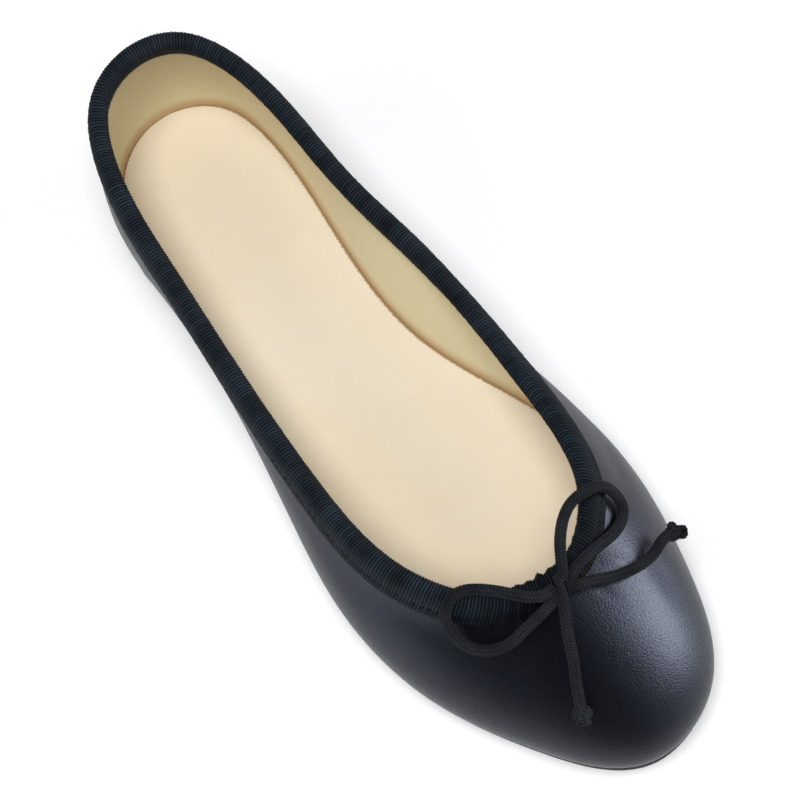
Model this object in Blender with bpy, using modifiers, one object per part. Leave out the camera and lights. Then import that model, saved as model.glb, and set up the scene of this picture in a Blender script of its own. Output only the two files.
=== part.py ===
"""Ballet flat, right shoe: lasted leather upper, ribbed tape binding with a drawstring bow, insole, outsole, heel.

The forms follow the last, a closed loop of stations round the foot. They are modelled from the back of the
heel, with the toe along +X and the inner side of the foot at +Y, and the root empty moves the origin to the
floor under the middle of the shoe.
"""

import math

import bmesh
import bpy
import numpy as np

# Driving sizes of the last, in metres.
LENGTH = 0.241  # along the feather line, where the upper meets the sole
BALL_WIDTH = 0.081  # across the feather line at the ball of the foot
BACK_HEIGHT = 0.056  # top edge above the floor at the back of the heel
THROAT_HEIGHT = 0.042  # top edge above the floor at the throat

# Leather, tape and sole, in metres.
UPPER_WALL = 0.0018
TAPE_THICKNESS = 0.0008
TAPE_OUTER_LEG = 0.0070
TAPE_INNER_LEG = 0.0036
DRAWSTRING_LIFT = 0.0006  # how far the drawstring inside the tape lifts it off the top edge
OUTSOLE_THICKNESS = 0.0026
OUTSOLE_EDGE = 0.0007  # how far the outsole stands out past the feather line
INSOLE_THICKNESS = 0.0026
INSOLE_CLEARANCE = 0.0006  # between the insole's edge and the inside of the upper
HEEL_HEIGHT = 0.0080
HEEL_LENGTH = 0.056
HEEL_INSET = 0.0006  # how far the heel stands in from the outsole's edge
HEEL_TAPER = 0.95  # size at the floor, as a share of the size under the sole
SEAT_RUN = 0.0040  # from the front of the heel to the start of the arch
TOE_SPRING = 0.0055
GAP = 0.0003  # between pieces that touch

# Where the sole lies flat under the ball, as shares of LENGTH.
BALL_START = 0.60
BALL_END = 0.75

# The last, from the back of the heel along the outer side to the toe and back along the inner side.
# foot_x, foot_y: feather line, as shares of LENGTH and BALL_WIDTH. top_x, top_y: top edge, the same shares.
# back, throat: height of the top edge, as shares of BACK_HEIGHT and THROAT_HEIGHT that are added together.
# belly: how far the wall leans out above the feather line, as a share of BALL_WIDTH.
# tape: width of the tape outside, as a share of TAPE_OUTER_LEG; it is gathered at the throat.
STATION_COLUMNS = ("foot_x", "foot_y", "top_x", "top_y", "back", "throat", "belly", "tape")
STATIONS = (
    (0.001, 0.000, 0.018, 0.000, 1.00, 0.00, 0.050, 1.00),
    (0.033, -0.223, 0.040, -0.195, 0.96, 0.00, 0.055, 1.00),
    (0.116, -0.346, 0.115, -0.315, 0.87, 0.00, 0.062, 1.00),
    (0.258, -0.364, 0.258, -0.365, 0.62, 0.18, 0.057, 1.00),
    (0.408, -0.385, 0.410, -0.393, 0.31, 0.51, 0.075, 1.00),
    (0.546, -0.456, 0.556, -0.408, 0.10, 0.78, 0.100, 1.00),
    (0.678, -0.507, 0.684, -0.377, 0.00, 0.98, 0.112, 1.00),
    (0.799, -0.452, 0.772, -0.247, 0.00, 1.02, 0.112, 0.86),
    (0.910, -0.286, 0.805, -0.084, 0.00, 1.02, 0.116, 0.72),
    (0.998, -0.014, 0.811, 0.056, 0.00, 1.00, 0.120, 0.68),
    (0.975, 0.249, 0.800, 0.160, 0.00, 0.98, 0.116, 0.64),
    (0.863, 0.429, 0.734, 0.334, 0.00, 0.97, 0.098, 0.66),
    (0.731, 0.506, 0.619, 0.390, 0.05, 0.85, 0.078, 0.82),
    (0.580, 0.421, 0.513, 0.403, 0.15, 0.66, 0.060, 0.92),
    (0.439, 0.264, 0.393, 0.381, 0.35, 0.44, 0.048, 1.00),
    (0.271, 0.260, 0.260, 0.328, 0.62, 0.18, 0.048, 1.00),
    (0.117, 0.289, 0.111, 0.290, 0.87, 0.00, 0.055, 1.00),
    (0.035, 0.216, 0.040, 0.184, 0.96, 0.00, 0.055, 1.00),
)

# The rib from the feather line to the top edge. Its handles are shares of its rise, its run and the belly.
LOW_HANDLE_RISE = 0.45
SIDE_HANDLE_RISE = 0.35
SIDE_HANDLE_LEAN = 0.40
VAMP_HANDLE_RUN = 0.45
VAMP_HANDLE_RISE = 0.10
VAMP_RUN = 0.57  # share of BALL_WIDTH that a rib runs in where it has wholly the form of the vamp

# The drawstring's bow, in metres, with its knot on the tape at the throat.
CORD_DIAMETER = 0.0030
KNOT_SIZE = (0.0070, 0.0066, 0.0050)
KNOT_PLACE = (0.1991, 0.0023, 0.0457)
END_KNOT_DIAMETER = 0.0049
END_KNOT_PLACES = {
    "end_knot_medial": (0.2019, 0.0359, 0.0343),
    "end_knot_lateral": (0.2253, -0.0114, 0.0310),
}
CORD_ROUTES = {
    "bow_loop_medial": (
        (0.1957, 0.0054, 0.0470), (0.1917, 0.0080, 0.0482), (0.1870, 0.0121, 0.0487), (0.1836, 0.0179, 0.0484),
        (0.1833, 0.0243, 0.0468), (0.1850, 0.0290, 0.0410), (0.1893, 0.0293, 0.0377), (0.1933, 0.0252, 0.0392),
        (0.1953, 0.0188, 0.0426), (0.1963, 0.0118, 0.0443), (0.1977, 0.0073, 0.0449),
    ),
    "bow_loop_lateral": (
        (0.1983, -0.0025, 0.0465), (0.1957, -0.0066, 0.0473), (0.1913, -0.0106, 0.0476), (0.1869, -0.0152, 0.0474),
        (0.1849, -0.0199, 0.0474), (0.1859, -0.0239, 0.0453), (0.1889, -0.0255, 0.0392), (0.1934, -0.0249, 0.0361),
        (0.1982, -0.0215, 0.0360), (0.2010, -0.0160, 0.0380), (0.2011, -0.0098, 0.0411), (0.2009, -0.0034, 0.0439),
    ),
    "bow_end_medial": (
        (0.2011, 0.0068, 0.0447), (0.2016, 0.0103, 0.0423), (0.2029, 0.0138, 0.0409), (0.2040, 0.0176, 0.0395),
        (0.2044, 0.0237, 0.0370), (0.2035, 0.0288, 0.0353), (0.2020, 0.0330, 0.0350),
    ),
    "bow_end_lateral": (
        (0.2030, 0.0004, 0.0430), (0.2076, -0.0023, 0.0408), (0.2138, -0.0053, 0.0378), (0.2194, -0.0085, 0.0345),
        (0.2229, -0.0103, 0.0322),
    ),
}

# How finely the forms are cut.
COLUMNS = 80
RIB_STEPS = 9
FINE_STEPS = 60
LEG_ROWS = (1.0, 0.6)  # rows of the tape's outer leg, as shares of its width
BEAD_ANGLES = (-30, 10, 50, 90, 130, 170, 210)
RUNGS = 34
RUNG_PARTS = 3
HEEL_RUNGS = 14
OUTLINE_POINTS = 720
CORD_STEP = 1.5  # diameters between a cord's points
CORD_RESOLUTION = 2
KNOT_SEGMENTS = 14
KNOT_RINGS = 8
SHARP_ANGLE = 50

# Base colours, as linear red, green and blue.
NAVY_LEATHER = (0.012, 0.016, 0.026)
NAVY_TAPE = (0.010, 0.014, 0.021)
CHARCOAL_CORD = (0.016, 0.017, 0.020)
CREAM_LEATHER = (0.74, 0.62, 0.43)
BLACK_SOLE = (0.010, 0.010, 0.011)


def smooth_curve(points, count, axes, closed):
    """Samples of the cubic spline through the rows of points, spaced by their first axes."""
    rows = np.array(points, float)
    if closed:
        rows = np.vstack([rows, rows[:1]])
    spans = np.linalg.norm(np.diff(rows[:, :axes], axis=0), axis=1)
    knots = np.concatenate([[0.0], np.cumsum(spans)])
    steps = np.diff(rows, axis=0) / spans[:, None]
    matrix, right = np.eye(len(rows)), np.zeros_like(rows)
    for i in range(1, len(rows) - 1):
        matrix[i, i - 1 : i + 2] = spans[i - 1], 2 * (spans[i - 1] + spans[i]), spans[i]
        right[i] = 6 * (steps[i] - steps[i - 1])
    if closed:
        matrix[0, -1] = -1
        matrix[-1, :2] = 2 * spans[0], spans[0]
        matrix[-1, -2:] = spans[-1], 2 * spans[-1]
        right[-1] = 6 * (steps[0] - steps[-1])
    bends = np.linalg.solve(matrix, right)
    places = np.linspace(0, knots[-1], count, endpoint=not closed)
    index = np.clip(np.searchsorted(knots, places, side="right") - 1, 0, len(spans) - 1)
    span = spans[index][:, None]
    share = ((places - knots[index]) / spans[index])[:, None]
    rest = 1 - share
    bend = (rest**3 - rest) * bends[index] + (share**3 - share) * bends[index + 1]
    return rest * rows[index] + share * rows[index + 1] + bend * span**2 / 6


def sole_bottom(x):
    """Height of the outsole's underside: level at the heel seat, down the arch, flat at the ball, toe spring."""
    seat_end, ball_start, ball_end = HEEL_LENGTH + SEAT_RUN, BALL_START * LENGTH, BALL_END * LENGTH
    arch = np.clip((x - seat_end) / (ball_start - seat_end), 0, 1)
    toe = np.clip((x - ball_end) / (LENGTH - ball_end), 0, None)
    return (HEEL_HEIGHT + GAP) * (1 + np.cos(math.pi * arch)) / 2 + TOE_SPRING * toe**2


def insole_bottom(x):
    return sole_bottom(x) + OUTSOLE_THICKNESS + GAP


def unit(vectors):
    return vectors / np.linalg.norm(vectors, axis=-1, keepdims=True)


def plan_normals(loop):
    """Outward directions in plan of a closed loop that runs along -Y to the toe and back along +Y."""
    along = np.roll(loop, -1, axis=0) - np.roll(loop, 1, axis=0)
    return unit(np.stack([along[:, 1], -along[:, 0], np.zeros(len(loop))], axis=1))


def last_lines(count):
    """At each column the feather line, the top edge, the belly and the width of the tape outside."""
    sizes = [LENGTH, BALL_WIDTH, LENGTH, BALL_WIDTH, BACK_HEIGHT, THROAT_HEIGHT, BALL_WIDTH, TAPE_OUTER_LEG]
    rows = smooth_curve(np.array(STATIONS) * np.array(sizes), count, 2, True)
    feather = np.column_stack([rows[:, 0], rows[:, 1], insole_bottom(rows[:, 0])])
    top = np.column_stack([rows[:, 2], rows[:, 3], rows[:, 4] + rows[:, 5]])
    return feather, top, rows[:, 6:7], rows[:, 7]


def upper_surface(steps):
    """Outer face of the upper as points[step, column]: at each column a curved rib from the sole to the top edge.

    On the sides the rib rises steeply and leans in at the top. Over the toes it runs back almost level.
    """
    feather, top, belly, _ = last_lines(COLUMNS)
    lift = np.array([0.0, 0.0, 1.0])
    rise = lift * (top - feather)[:, 2:3]
    inward = (top - feather) * np.array([1.0, 1.0, 0.0])
    vamp = np.clip(np.linalg.norm(inward, axis=1, keepdims=True) / (VAMP_RUN * BALL_WIDTH), 0, 1)
    lean = plan_normals(feather) * belly
    low = feather + lean + rise * LOW_HANDLE_RISE
    side_handle = rise * SIDE_HANDLE_RISE - lean * SIDE_HANDLE_LEAN
    vamp_handle = inward * VAMP_HANDLE_RUN + rise * VAMP_HANDLE_RISE
    high = top - vamp_handle * vamp - side_handle * (1 - vamp)
    share = np.linspace(0, 1, steps)[:, None, None]
    rest = 1 - share
    return feather * rest**3 + low * 3 * share * rest**2 + high * 3 * share**2 * rest + top * share**3


def surface_normals(points):
    along = np.roll(points, -1, axis=1) - np.roll(points, 1, axis=1)
    return unit(np.cross(along, np.gradient(points, axis=0)))


def below_top(points, normals, distances, offset):
    """On each rib the point that lies its distance below the top edge, moved out along its normal."""
    steps = np.linalg.norm(np.diff(points[::-1], axis=0), axis=2)
    depths = np.vstack([np.zeros(COLUMNS), np.cumsum(steps, axis=0)])
    place, normal = np.empty((COLUMNS, 3)), np.empty((COLUMNS, 3))
    for column in range(COLUMNS):
        for axis in range(3):
            depth = depths[:, column]
            place[column, axis] = np.interp(distances[column], depth, points[::-1, column, axis])
            normal[column, axis] = np.interp(distances[column], depth, normals[::-1, column, axis])
    return place + unit(normal) * offset


def tape_surface():
    """The inner face of the tape: up outside the upper, round the drawstring on its top edge and down inside."""
    _, _, _, outer_leg = last_lines(COLUMNS)
    points = upper_surface(FINE_STEPS)
    normals = surface_normals(points)
    out = normals[-1]
    up = unit(points[-1] - points[-3])
    middle = points[-1] - out * UPPER_WALL / 2
    bead = UPPER_WALL / 2 + GAP + DRAWSTRING_LIFT
    rows = [below_top(points, normals, outer_leg * share, GAP) for share in LEG_ROWS]
    for degrees in BEAD_ANGLES:
        turn = math.radians(degrees)
        rows.append(middle + bead * (math.cos(turn) * out + math.sin(turn) * up))
    rows.append(below_top(points, normals, np.full(COLUMNS, TAPE_INNER_LEG), -UPPER_WALL - GAP))
    return np.array(rows)


def outline_rungs(offset, count, last):
    """Rungs across the feather line moved out by offset: x, outer y and inner y, closest together at the ends."""
    feather, _, _, _ = last_lines(OUTLINE_POINTS)
    edge = feather + plan_normals(feather) * offset
    edge = np.roll(edge, -int(edge[:, 0].argmin()), axis=0)
    toe = int(edge[:, 0].argmax())
    outer, inner = edge[: toe + 1], np.vstack([edge[:1], edge[:toe - 1:-1]])
    first = edge[0, 0]
    if last is None:
        turn = math.pi * (np.arange(count) + 0.5) / count
        x = first + (edge[toe, 0] - first) * (1 - np.cos(turn)) / 2
    else:
        turn = math.pi / 2 * (np.arange(count) + 1) / count
        x = first + (last - first) * (1 - np.cos(turn))
    return x, np.interp(x, outer[:, 0], outer[:, 1]), np.interp(x, inner[:, 0], inner[:, 1])


def add_piece(name, bm, material):
    mesh = bpy.data.meshes.new(name)
    bm.to_mesh(mesh)
    bm.free()
    mesh.shade_smooth()
    mesh.set_sharp_from_angle(angle=math.radians(SHARP_ANGLE))
    return place_object(name, mesh, material)


def place_object(name, data, material):
    data.materials.append(material)
    piece = bpy.data.objects.new(name, data)
    PIECES.objects.link(piece)
    piece.parent = ROOT
    return piece


def add_sheet(name, grid, thickness, offset, closed, material):
    """A sheet through grid[row, column] with a thickness on one side: 1 along its normals, -1 against them."""
    bm = bmesh.new()
    rows = [[bm.verts.new(point) for point in row] for row in grid]
    for lower, upper in zip(rows, rows[1:]):
        for column in range(len(lower) if closed else len(lower) - 1):
            after = (column + 1) % len(lower)
            bm.faces.new((lower[column], lower[after], upper[after], upper[column]))
    piece = add_piece(name, bm, material)
    wall = piece.modifiers.new("wall", "SOLIDIFY")
    wall.thickness = thickness
    wall.offset = offset
    wall.use_even_offset = True
    return piece


def add_sole_plate(name, offset, height, thickness, material):
    """A plate of even thickness over the outline, whose underside lies at the height that the function gives."""
    x, outer, inner = outline_rungs(offset, RUNGS, None)
    across = np.linspace(0, 1, RUNG_PARTS + 1)[:, None]
    y = outer + (inner - outer) * across
    grid = np.stack([np.broadcast_to(x, y.shape), y, np.broadcast_to(height(x), y.shape)], axis=-1)
    return add_sheet(name, grid, thickness, 1, False, material)


def add_heel(material):
    """The low heel block: the back of the outline under the outsole, drawn in a little towards the floor."""
    x, outer, inner = outline_rungs(-HEEL_INSET, HEEL_RUNGS, HEEL_LENGTH)
    outline = list(zip(x, outer)) + list(zip(x[::-1], inner[::-1]))
    bm = bmesh.new()
    seat = bm.faces.new([bm.verts.new((px, py, HEEL_HEIGHT)) for px, py in outline])
    made = bmesh.ops.extrude_face_region(bm, geom=[seat])["geom"]
    floor = [item for item in made if isinstance(item, bmesh.types.BMVert)]
    for vert in floor:
        vert.co.x = HEEL_LENGTH / 2 + (vert.co.x - HEEL_LENGTH / 2) * HEEL_TAPER
        vert.co.y *= HEEL_TAPER
        vert.co.z = 0.0
    bmesh.ops.recalc_face_normals(bm, faces=bm.faces)
    return add_piece("heel", bm, material)


def add_knot(name, place, size, material):
    bm = bmesh.new()
    bmesh.ops.create_uvsphere(bm, u_segments=KNOT_SEGMENTS, v_segments=KNOT_RINGS, radius=0.5)
    bmesh.ops.scale(bm, vec=size, verts=bm.verts)
    knot = add_piece(name, bm, material)
    knot.location = place
    return knot


def add_cord(name, route, material):
    length = sum(math.dist(here, there) for here, there in zip(route, route[1:]))
    points = smooth_curve(route, round(length / (CORD_STEP * CORD_DIAMETER)) + 1, 3, False)
    curve = bpy.data.curves.new(name, "CURVE")
    curve.dimensions = "3D"
    curve.bevel_depth = CORD_DIAMETER / 2
    curve.bevel_resolution = CORD_RESOLUTION
    curve.use_fill_caps = True
    line = curve.splines.new("POLY")
    line.points.add(len(points) - 1)
    for target, point in zip(line.points, points):
        target.co = (*point, 1.0)
    return place_object(name, curve, material)


def finish(name, colour, roughness):
    made = bpy.data.materials.new(name)
    made.use_nodes = True
    shader = made.node_tree.nodes["Principled BSDF"]
    shader.inputs["Base Color"].default_value = (*colour, 1.0)
    shader.inputs["Roughness"].default_value = roughness
    shader.inputs["Metallic"].default_value = 0.0
    return made


def centre_on_floor(pieces):
    """Moves the root so that the origin lies on the floor, under the middle of the pieces."""
    corners = np.array([corner for piece in pieces for corner in piece.bound_box])
    middle = (corners.min(axis=0) + corners.max(axis=0)) / 2
    ROOT.location = (-middle[0], -middle[1], 0.0)


def main():
    cord = finish("charcoal_cord", CHARCOAL_CORD, 0.9)
    sole = finish("black_sole", BLACK_SOLE, 0.55)
    navy = finish("navy_leather", NAVY_LEATHER, 0.42)
    upper = add_sheet("upper", upper_surface(RIB_STEPS), UPPER_WALL, -1, True, navy)
    outsole = add_sole_plate("outsole", OUTSOLE_EDGE, sole_bottom, OUTSOLE_THICKNESS, sole)
    centre_on_floor([upper, outsole])
    add_heel(sole)
    inside = finish("cream_leather", CREAM_LEATHER, 0.6)
    add_sole_plate("insole", -UPPER_WALL - INSOLE_CLEARANCE, insole_bottom, INSOLE_THICKNESS, inside)
    tape = finish("navy_tape", NAVY_TAPE, 0.85)
    add_sheet("topline_binding", tape_surface(), TAPE_THICKNESS, 1, True, tape)
    add_knot("bow_knot", KNOT_PLACE, KNOT_SIZE, cord)
    for name, place in END_KNOT_PLACES.items():
        add_knot(name, place, (END_KNOT_DIAMETER,) * 3, cord)
    for name, route in CORD_ROUTES.items():
        add_cord(name, route, cord)


for old in list(bpy.data.objects):
    bpy.data.objects.remove(old)
PIECES = bpy.data.collections.new("ballet_flat")
bpy.context.scene.collection.children.link(PIECES)
ROOT = bpy.data.objects.new("ballet_flat_root", None)
PIECES.objects.link(ROOT)
main()
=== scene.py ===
"""Looks of a right ballet flat: calf upper, ribbed tape with a drawstring bow, cream insole, black sole.

Every form follows the last, as in the part's source. Points run from the back of the heel, with the
toe along +X and the inner side of the foot at +Y, and are then moved to the frame's origin.
"""

import math

import bmesh
import bpy
import numpy as np
from mathutils import Matrix, Vector


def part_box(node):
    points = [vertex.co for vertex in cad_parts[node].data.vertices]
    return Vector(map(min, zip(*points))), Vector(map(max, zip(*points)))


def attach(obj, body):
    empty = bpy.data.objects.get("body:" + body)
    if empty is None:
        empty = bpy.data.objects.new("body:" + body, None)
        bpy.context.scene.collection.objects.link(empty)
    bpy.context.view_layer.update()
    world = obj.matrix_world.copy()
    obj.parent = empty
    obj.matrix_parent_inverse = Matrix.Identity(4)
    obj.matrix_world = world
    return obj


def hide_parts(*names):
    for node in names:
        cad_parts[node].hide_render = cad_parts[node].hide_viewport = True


bl_info = {
    "name": "Ballet Flat",
    "version": (1, 0, 0),
    "blender": (4, 5, 0),
    "location": "View3D > Sidebar > Ballet Flat",
    "description": "Models a lasted leather ballet flat with a drawstring bow over its frame",
    "category": "Add Mesh",
}

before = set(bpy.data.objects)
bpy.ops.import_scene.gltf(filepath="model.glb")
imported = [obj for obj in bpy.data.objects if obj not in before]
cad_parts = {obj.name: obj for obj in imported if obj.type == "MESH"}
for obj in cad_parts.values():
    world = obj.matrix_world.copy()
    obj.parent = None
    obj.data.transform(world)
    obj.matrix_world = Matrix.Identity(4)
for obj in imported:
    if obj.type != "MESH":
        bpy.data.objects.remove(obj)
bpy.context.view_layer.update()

MM = 0.001

# The last, from the back of the heel along the outer side to the toe and back along the inner side.
# foot_x, foot_y: feather line, as shares of the length and the ball width. top_x, top_y: top edge, the same.
# back, throat: height of the top edge, as shares of the back height and the throat height, added together.
# belly: how far the wall leans out above the feather line, as a share of the ball width.
# tape: width of the tape outside, as a share of its outer leg; it is gathered at the throat.
STATIONS = (
    (0.001, 0.000, 0.018, 0.000, 1.00, 0.00, 0.050, 1.00),
    (0.033, -0.223, 0.040, -0.195, 0.96, 0.00, 0.055, 1.00),
    (0.116, -0.346, 0.115, -0.315, 0.87, 0.00, 0.062, 1.00),
    (0.258, -0.364, 0.258, -0.365, 0.62, 0.18, 0.057, 1.00),
    (0.408, -0.385, 0.410, -0.393, 0.31, 0.51, 0.075, 1.00),
    (0.546, -0.456, 0.556, -0.408, 0.10, 0.78, 0.100, 1.00),
    (0.678, -0.507, 0.684, -0.377, 0.00, 0.98, 0.112, 1.00),
    (0.799, -0.452, 0.772, -0.247, 0.00, 1.02, 0.112, 0.86),
    (0.910, -0.286, 0.805, -0.084, 0.00, 1.02, 0.116, 0.72),
    (0.998, -0.014, 0.811, 0.056, 0.00, 1.00, 0.120, 0.68),
    (0.975, 0.249, 0.800, 0.160, 0.00, 0.98, 0.116, 0.64),
    (0.863, 0.429, 0.734, 0.334, 0.00, 0.97, 0.098, 0.66),
    (0.731, 0.506, 0.619, 0.390, 0.05, 0.85, 0.078, 0.82),
    (0.580, 0.421, 0.513, 0.403, 0.15, 0.66, 0.060, 0.92),
    (0.439, 0.264, 0.393, 0.381, 0.35, 0.44, 0.048, 1.00),
    (0.271, 0.260, 0.260, 0.328, 0.62, 0.18, 0.048, 1.00),
    (0.117, 0.289, 0.111, 0.290, 0.87, 0.00, 0.055, 1.00),
    (0.035, 0.216, 0.040, 0.184, 0.96, 0.00, 0.055, 1.00),
)
FRAME_COLUMNS = 80  # columns and steps of the frame's upper, which gives the way to the frame's origin
FRAME_STEPS = 9

# Where the sole lies flat under the ball, as shares of the length.
BALL_START = 0.60
BALL_END = 0.75

# The rib from the feather line to the top edge. Its handles are shares of its rise, its run and the belly.
LOW_HANDLE_RISE = 0.45
SIDE_HANDLE_RISE = 0.35
SIDE_HANDLE_LEAN = 0.40
VAMP_HANDLE_RUN = 0.45
VAMP_HANDLE_RISE = 0.10
VAMP_RUN = 0.57  # share of the ball width that a rib runs in where it has wholly the form of the vamp

# Soft creases of the upper. around: share of the way round the last. up: share of the way up.
# length, width: half of each, as shares of the ball width. turn: degrees from the way round. depth: in walls.
CREASES = (
    (0.415, 0.82, 0.060, 0.016, 96, -0.16),
    (0.437, 0.86, 0.050, 0.012, 92, 0.12),
    (0.458, 0.85, 0.055, 0.013, 88, -0.14),
    (0.478, 0.84, 0.045, 0.012, 84, 0.10),
    (0.520, 0.85, 0.050, 0.013, 98, -0.12),
    (0.545, 0.82, 0.060, 0.015, 92, 0.12),
    (0.4965, 0.650, 0.040, 0.008, -30, -0.09),
    (0.4990, 0.600, 0.045, 0.008, -24, -0.10),
    (0.5030, 0.552, 0.040, 0.008, -28, -0.08),
    (0.355, 0.70, 0.240, 0.045, 6, -0.22),
    (0.300, 0.55, 0.220, 0.060, -8, 0.16),
    (0.240, 0.66, 0.200, 0.050, 10, -0.18),
    (0.620, 0.62, 0.200, 0.050, -12, -0.18),
    (0.560, 0.58, 0.120, 0.045, 35, -0.16),
    (0.690, 0.60, 0.180, 0.050, 8, 0.16),
    (0.745, 0.50, 0.200, 0.055, -6, -0.20),
    (0.115, 0.45, 0.160, 0.030, 82, 0.14),
    (0.885, 0.45, 0.160, 0.030, 98, 0.14),
    (0.060, 0.35, 0.140, 0.045, 8, -0.14),
    (0.940, 0.38, 0.140, 0.045, -8, -0.14),
)

# The bow, in metres: cords of the drawstring, and where they lie on the shoe.
KNOT_PLACE = (0.1991, 0.0023, 0.0457)
END_KNOT_PLACES = {
    "end_knot_medial": (0.2019, 0.0359, 0.0343),
    "end_knot_lateral": (0.2253, -0.0114, 0.0310),
}
CORD_ROUTES = {
    "bow_loop_medial": (
        (0.1957, 0.0054, 0.0470), (0.1917, 0.0080, 0.0482), (0.1870, 0.0121, 0.0487),
        (0.1836, 0.0179, 0.0484), (0.1833, 0.0243, 0.0468), (0.1850, 0.0290, 0.0410),
        (0.1893, 0.0293, 0.0377), (0.1933, 0.0252, 0.0392), (0.1953, 0.0188, 0.0426),
        (0.1963, 0.0118, 0.0443), (0.1977, 0.0073, 0.0449),
    ),
    "bow_loop_lateral": (
        (0.1983, -0.0025, 0.0465), (0.1957, -0.0066, 0.0473), (0.1913, -0.0106, 0.0476),
        (0.1869, -0.0152, 0.0474), (0.1849, -0.0199, 0.0474), (0.1859, -0.0239, 0.0453),
        (0.1889, -0.0255, 0.0392), (0.1934, -0.0249, 0.0361), (0.1982, -0.0215, 0.0360),
        (0.2010, -0.0160, 0.0380), (0.2011, -0.0098, 0.0411), (0.2009, -0.0034, 0.0439),
    ),
    "bow_end_medial": (
        (0.2011, 0.0068, 0.0447), (0.2016, 0.0103, 0.0423), (0.2029, 0.0138, 0.0409),
        (0.2040, 0.0176, 0.0395), (0.2044, 0.0237, 0.0370), (0.2035, 0.0288, 0.0353),
        (0.2020, 0.0330, 0.0350),
    ),
    "bow_end_lateral": (
        (0.2030, 0.0004, 0.0430), (0.2076, -0.0023, 0.0408), (0.2138, -0.0053, 0.0378),
        (0.2194, -0.0085, 0.0345), (0.2229, -0.0103, 0.0322),
    ),
}

# The tape: shares of its outer leg where rows lie and how far each stands off the leather, turns of the rows
# round the drawstring, and its relief.
LEG_ROWS = ((1.0, 0.0), (0.62, 0.40 * MM), (0.30, 0.75 * MM))
BEAD_ANGLES = (5, 45, 85, 125, 167, 210)
RIB_PITCH = 0.9 * MM
RIB_PROFILE = (0.0, 0.6, 1.0, 0.6)  # heights across one rib, from groove to groove
RIB_HEIGHT = 0.30 * MM
TAPE_ROWS = 21
STITCH_LINE = 0.60  # share of the outer leg where the tape is stitched down
STITCH_PITCH = 2.4 * MM
STITCH_LENGTH = 1.6 * MM
STITCH_RADIUS = 0.15 * MM

# The braid of the cord.
BRAID_STRANDS = 8  # strands that run each way round
BRAID_ROW = 0.8 * MM
BRAID_DEPTH = 0.30 * MM
CORD_COLUMNS = 64
CORD_STEP = BRAID_ROW / 8

# Where each cord of the bow starts in the knot, in mm from its middle.
HEART_OFFSETS = {
    "bow_loop_medial": (-1.0, 1.2, 0.4),
    "bow_loop_lateral": (-0.8, -1.4, 0.3),
    "bow_end_medial": (0.6, 1.6, -0.9),
    "bow_end_lateral": (0.9, -0.4, -1.0),
}
# For each end knot the axis that it is tied about, the way its cut end points, how far, and its loose fibres.
END_KNOT_TURNS = {
    "end_knot_medial": ((0.55, 0.52, 0.65), (0.60, 0.48, 0.62), 3.5 * MM, 14),
    "end_knot_lateral": ((0.35, -0.15, 0.92), (0.80, -0.40, -0.30), 2.5 * MM, 4),
}
END_KNOT_SIZE = 0.55 * MM  # a third of the way from the knot's middle to its outermost turn

# Fineness of the sheets, as columns round the last and steps up it.
UPPER_COLUMNS = 480
UPPER_STEPS = 48
LINING_COLUMNS = 300
LINING_STEPS = 30

# The heel below its top face: heights and widths of its rings, as shares, with a groove above the top piece.
HEEL_LEVELS = ((0.40, 0.990), (0.37, 0.980), (0.33, 0.980), (0.30, 0.990), (0.0, 0.978))

# The viewpoint: where the camera stood, from the last's own axes, and how it was turned.
VIEW_AZIMUTH = 52.17
VIEW_ELEVATION = 71.14
VIEW_DISTANCE = 0.5696
VIEW_TARGET = (0.1887, 0.0414, 0.0150)
AIM = (0.0022, 0.0039, 0.0213)  # what the camera points at, from the frame's origin: the middle of the shoe
SENSOR_WIDTH = 36.0
LENS = 94.5

# Soft lights: name, the way to it, its distance and size in metres, its power in watts, its colour, and
# whether it lights matt surfaces and shows in glossy ones.
LIGHTS = (
    ("window_gloss", (0.42, 0.80, 0.42), 1.10, 0.60, 18.0, "#fbfbff", False, True),
    ("window_light", (0.42, 0.80, 0.42), 1.10, 0.80, 3.0, "#fbfbff", True, False),
    ("ceiling_light", (0.20, -0.12, 0.97), 1.50, 0.80, 20.0, "#ffffff", True, False),
    ("side_fill", (-0.25, -0.80, 0.55), 1.50, 1.00, 4.0, "#ffffff", True, False),
    ("side_gloss", (-0.22, -0.95, 0.06), 1.30, 0.50, 3.6, "#dfe6ff", False, True),
)
ROOM_COLOUR = "#ffffff"
ROOM_STRENGTH = 0.08
FLOOR_RADIUS = 0.85


def linear(hex_colour):
    """Linear red, green, blue and alpha of an sRGB hex colour."""
    shares = [int(hex_colour[i : i + 2], 16) / 255 for i in (1, 3, 5)]
    return (*[s / 12.92 if s <= 0.04045 else ((s + 0.055) / 1.055) ** 2.4 for s in shares], 1.0)


def size_property(name, default, description):
    return bpy.props.FloatProperty(
        name=name, default=default, description=description, subtype="DISTANCE", unit="LENGTH", min=0.0,
        precision=5,
    )


def colour_property(name, hex_colour, description):
    return bpy.props.FloatVectorProperty(
        name=name, default=linear(hex_colour), description=description, subtype="COLOR", size=4, min=0.0,
        max=1.0,
    )


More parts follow.
